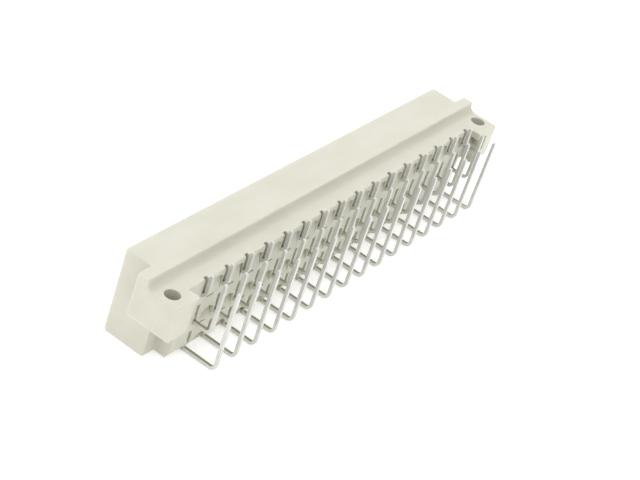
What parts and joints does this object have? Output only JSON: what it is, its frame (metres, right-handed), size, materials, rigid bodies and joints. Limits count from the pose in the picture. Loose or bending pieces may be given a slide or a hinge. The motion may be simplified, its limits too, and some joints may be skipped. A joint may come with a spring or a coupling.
{
  "type": "backplane connector",
  "caption": "Angled male board connector: long moulded shroud with screw flanges and rows of bent solder contacts.",
  "frame": {"origin": "below the middle of the bounding box, on the surface that the bottom long side of the shroud stands on", "axes": "+X along the connector, towards the flange beside the last contact column; +Y towards the mating side; +Z out of the board face"},
  "size_m": [0.0936, 0.017, 0.0156],
  "materials": {
    "housing_plastic": "satin moulded, pale warm grey",
    "plated_contact": "bright tin plate over copper alloy"
  },
  "bodies": {
    "root": {"housing": "housing_plastic", "contact_a01": "plated_contact", "contact_a02": "plated_contact", "contact_a03": "plated_contact", "contact_a04": "plated_contact", "contact_a05": "plated_contact", "contact_a06": "plated_contact", "contact_a07": "plated_contact", "contact_a08": "plated_contact", "contact_a09": "plated_contact", "contact_a10": "plated_contact", "contact_a11": "plated_contact", "contact_a12": "plated_contact", "contact_a13": "plated_contact", "contact_a14": "plated_contact", "contact_a15": "plated_contact", "contact_a16": "plated_contact", "contact_b01": "plated_contact", "contact_b02": "plated_contact", "contact_b03": "plated_contact", "contact_b04": "plated_contact", "contact_b05": "plated_contact", "contact_b06": "plated_contact", "contact_b07": "plated_contact", "contact_b08": "plated_contact", "contact_b09": "plated_contact", "contact_b10": "plated_contact", "contact_b11": "plated_contact", "contact_b12": "plated_contact", "contact_b13": "plated_contact", "contact_b14": "plated_contact", "contact_b15": "plated_contact", "contact_b16": "plated_contact", "contact_c01": "plated_contact", "contact_c02": "plated_contact", "contact_c03": "plated_contact", "contact_c04": "plated_contact", "contact_c05": "plated_contact", "contact_c06": "plated_contact", "contact_c07": "plated_contact", "contact_c08": "plated_contact", "contact_c09": "plated_contact", "contact_c10": "plated_contact", "contact_c11": "plated_contact", "contact_c12": "plated_contact", "contact_c13": "plated_contact", "contact_c14": "plated_contact", "contact_c15": "plated_contact", "contact_c16": "plated_contact"}
  },
  "joints": []
}
